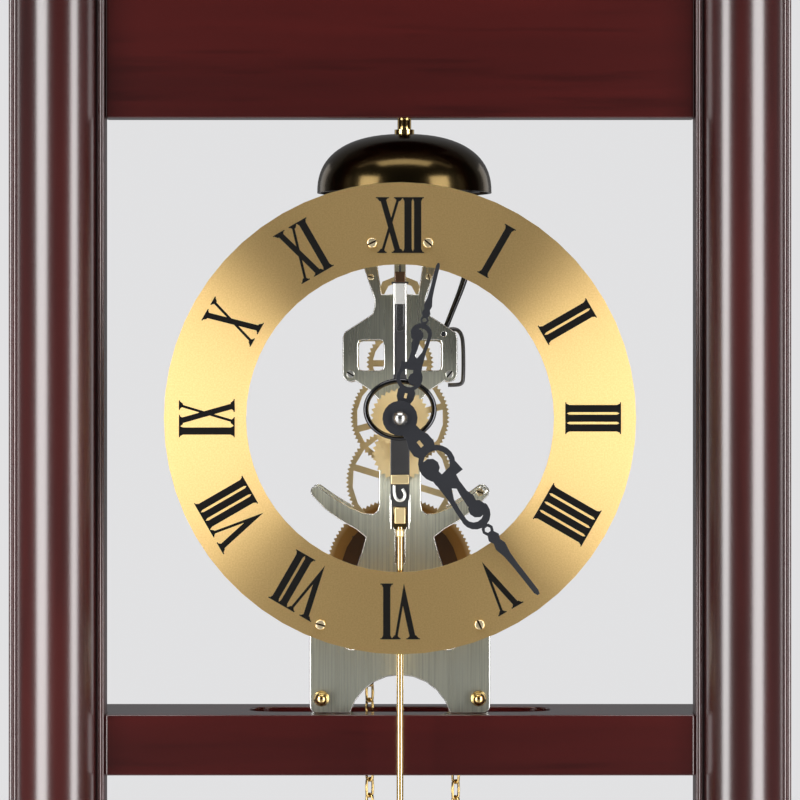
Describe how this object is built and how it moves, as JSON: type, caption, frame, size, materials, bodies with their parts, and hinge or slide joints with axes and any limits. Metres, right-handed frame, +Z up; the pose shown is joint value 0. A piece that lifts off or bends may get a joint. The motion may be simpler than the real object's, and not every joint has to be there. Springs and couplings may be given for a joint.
{
  "type": "pendulum floor clock",
  "caption": "Open-frame wooden floor clock with a brass dial ring, skeleton wheel train, bell and hammer, swinging pendulum and a chain-driven weight.",
  "frame": {"origin": "on the floor, under the middle of the plinth", "axes": "+Z up, the dial faces -Y, +X to the right of someone facing the dial"},
  "size_m": [0.44, 0.26, 1.8376],
  "materials": {
    "mahogany": "glossy dark red mahogany lacquer",
    "satin_brass": "satin brass",
    "polished_brass": "polished brass",
    "brushed_nickel": "vertically brushed nickel",
    "polished_steel": "polished steel",
    "black_steel": "satin black",
    "bronzed_steel": "dark bronzed steel"
  },
  "bodies": {
    "root": {"base_plinth": "mahogany", "base_moulding": "mahogany", "base_deck": "mahogany", "left_post": "mahogany", "right_post": "mahogany", "left_column": "mahogany", "right_column": "mahogany", "seat_rail": "mahogany", "top_rail": "mahogany", "cornice": "mahogany", "top_cap": "mahogany", "front_plate": "brushed_nickel", "back_plate": "brushed_nickel", "lower_pillar_left": "polished_brass", "lower_pillar_right": "polished_brass", "upper_pillar_left": "polished_brass", "upper_pillar_right": "polished_brass", "acorn_nut_left": "polished_brass", "acorn_nut_right": "polished_brass", "dial_ring": "satin_brass", "dial_post_upper_left": "polished_brass", "dial_post_upper_right": "polished_brass", "dial_post_lower_left": "polished_brass", "dial_post_lower_right": "polished_brass", "suspension_cock": "brushed_nickel", "minute_stud": "polished_steel", "bell_bracket": "brushed_nickel", "bell_post": "polished_brass", "bell": "polished_brass", "bell_nut": "polished_brass", "chain_over_sprocket": "polished_brass", "chain_guide_pin": "polished_steel"},
    "great": {"great_wheel": "satin_brass", "click": "polished_steel"},
    "sprocket": {"chain_sprocket": "bronzed_steel"},
    "second": {"second_wheel": "satin_brass"},
    "centre": {"centre_wheel": "satin_brass"},
    "third": {"third_wheel": "satin_brass"},
    "escape": {"escape_wheel": "satin_brass"},
    "rocker": {"anchor": "satin_brass", "crutch": "polished_steel"},
    "pendulum": {"suspension_spring": "polished_steel", "pendulum_leader": "bronzed_steel", "pendulum_rod": "polished_brass"},
    "bob": {"pendulum_bob": "polished_brass"},
    "rating": {"rating_nut": "polished_brass"},
    "minute": {"cannon_pinion": "polished_steel", "minute_hand": "black_steel", "hand_nut": "polished_steel"},
    "transfer": {"minute_wheel": "satin_brass"},
    "hour": {"hour_wheel": "satin_brass", "hour_hand": "black_steel"},
    "striker": {"hammer": "polished_steel"},
    "weight": {"weight_hook": "polished_brass", "weight_top_cap": "polished_brass", "weight_tube": "polished_brass", "weight_bottom_cap": "polished_brass", "weight_chain": "polished_brass"},
    "pull": {"pull_ring": "polished_brass", "ring_chain": "polished_brass"}
  },
  "joints": [
    {"name": "pendulum_swing", "type": "hinge", "parent": "root", "child": "pendulum", "pos_m": [0, -0.056, 1.62], "axis": [0, 1, 0], "range_deg": [-3, 3]},
    {"name": "anchor_rock", "type": "hinge", "parent": "root", "child": "rocker", "pos_m": [0, 0, 1.62], "axis": [0, 1, 0], "range_deg": [-3, 3]},
    {"name": "bob_slide", "type": "slide", "parent": "pendulum", "child": "bob", "axis": [0, 0, 1], "range_m": [-0.0021, 0.0021]},
    {"name": "rating_nut_turn", "type": "hinge", "parent": "bob", "child": "rating", "pos_m": [0, -0.056, 0.551], "axis": [0, 0, 1], "range_deg": [-1080, 1080]},
    {"name": "escape_turn", "type": "hinge", "parent": "root", "child": "escape", "pos_m": [0, 0, 1.602], "axis": [0, 1, 0], "continuous": true},
    {"name": "third_turn", "type": "hinge", "parent": "root", "child": "third", "pos_m": [0, 0, 1.585], "axis": [0, 1, 0], "continuous": true},
    {"name": "centre_turn", "type": "hinge", "parent": "root", "child": "centre", "pos_m": [0, 0, 1.56], "axis": [0, 1, 0], "continuous": true},
    {"name": "second_turn", "type": "hinge", "parent": "root", "child": "second", "pos_m": [0, 0, 1.531], "axis": [0, 1, 0], "continuous": true},
    {"name": "great_turn", "type": "hinge", "parent": "root", "child": "great", "pos_m": [0, 0, 1.489], "axis": [0, 1, 0], "continuous": true},
    {"name": "minute_hand_turn", "type": "hinge", "parent": "root", "child": "minute", "pos_m": [0, 0, 1.56], "axis": [0, 1, 0], "continuous": true},
    {"name": "minute_wheel_turn", "type": "hinge", "parent": "root", "child": "transfer", "pos_m": [0, 0, 1.5439], "axis": [0, 1, 0], "continuous": true},
    {"name": "hour_hand_turn", "type": "hinge", "parent": "root", "child": "hour", "pos_m": [0, 0, 1.56], "axis": [0, 1, 0], "continuous": true},
    {"name": "hammer_swing", "type": "hinge", "parent": "root", "child": "striker", "pos_m": [0.0198, 0, 1.598], "axis": [0, 1, 0], "range_deg": [-14, 1], "stiffness_Nm_per_rad": 0.1},
    {"name": "weight_drop", "type": "slide", "parent": "root", "child": "weight", "axis": [0, 0, 1], "range_m": [-0.42, 0.4], "deforming": ["weight_chain"]},
    {"name": "ring_rise", "type": "slide", "parent": "root", "child": "pull", "axis": [0, 0, 1], "range_m": [-0.4, 0.42], "deforming": ["ring_chain"]},
    {"name": "sprocket_turn", "type": "hinge", "parent": "root", "child": "sprocket", "pos_m": [0, 0, 1.489], "axis": [0, 1, 0], "continuous": true}
  ],
  "couplings": [
    {"joint": "anchor_rock", "follows": "pendulum_swing", "ratio": 1},
    {"joint": "rating_nut_turn", "follows": "bob_slide", "rad_per_m": 8976},
    {"joint": "third_turn", "follows": "escape_turn", "ratio": -0.13333},
    {"joint": "centre_turn", "follows": "escape_turn", "ratio": 0.016667},
    {"joint": "second_turn", "follows": "escape_turn", "ratio": -0.0033333},
    {"joint": "great_turn", "follows": "escape_turn", "ratio": 0.00083333},
    {"joint": "minute_wheel_turn", "follows": "minute_hand_turn", "ratio": -0.33333},
    {"joint": "hour_hand_turn", "follows": "minute_hand_turn", "ratio": 0.083333},
    {"joint": "ring_rise", "follows": "weight_drop", "ratio": -1},
    {"joint": "sprocket_turn", "follows": "weight_drop", "rad_per_m": -71.727}
  ]
}
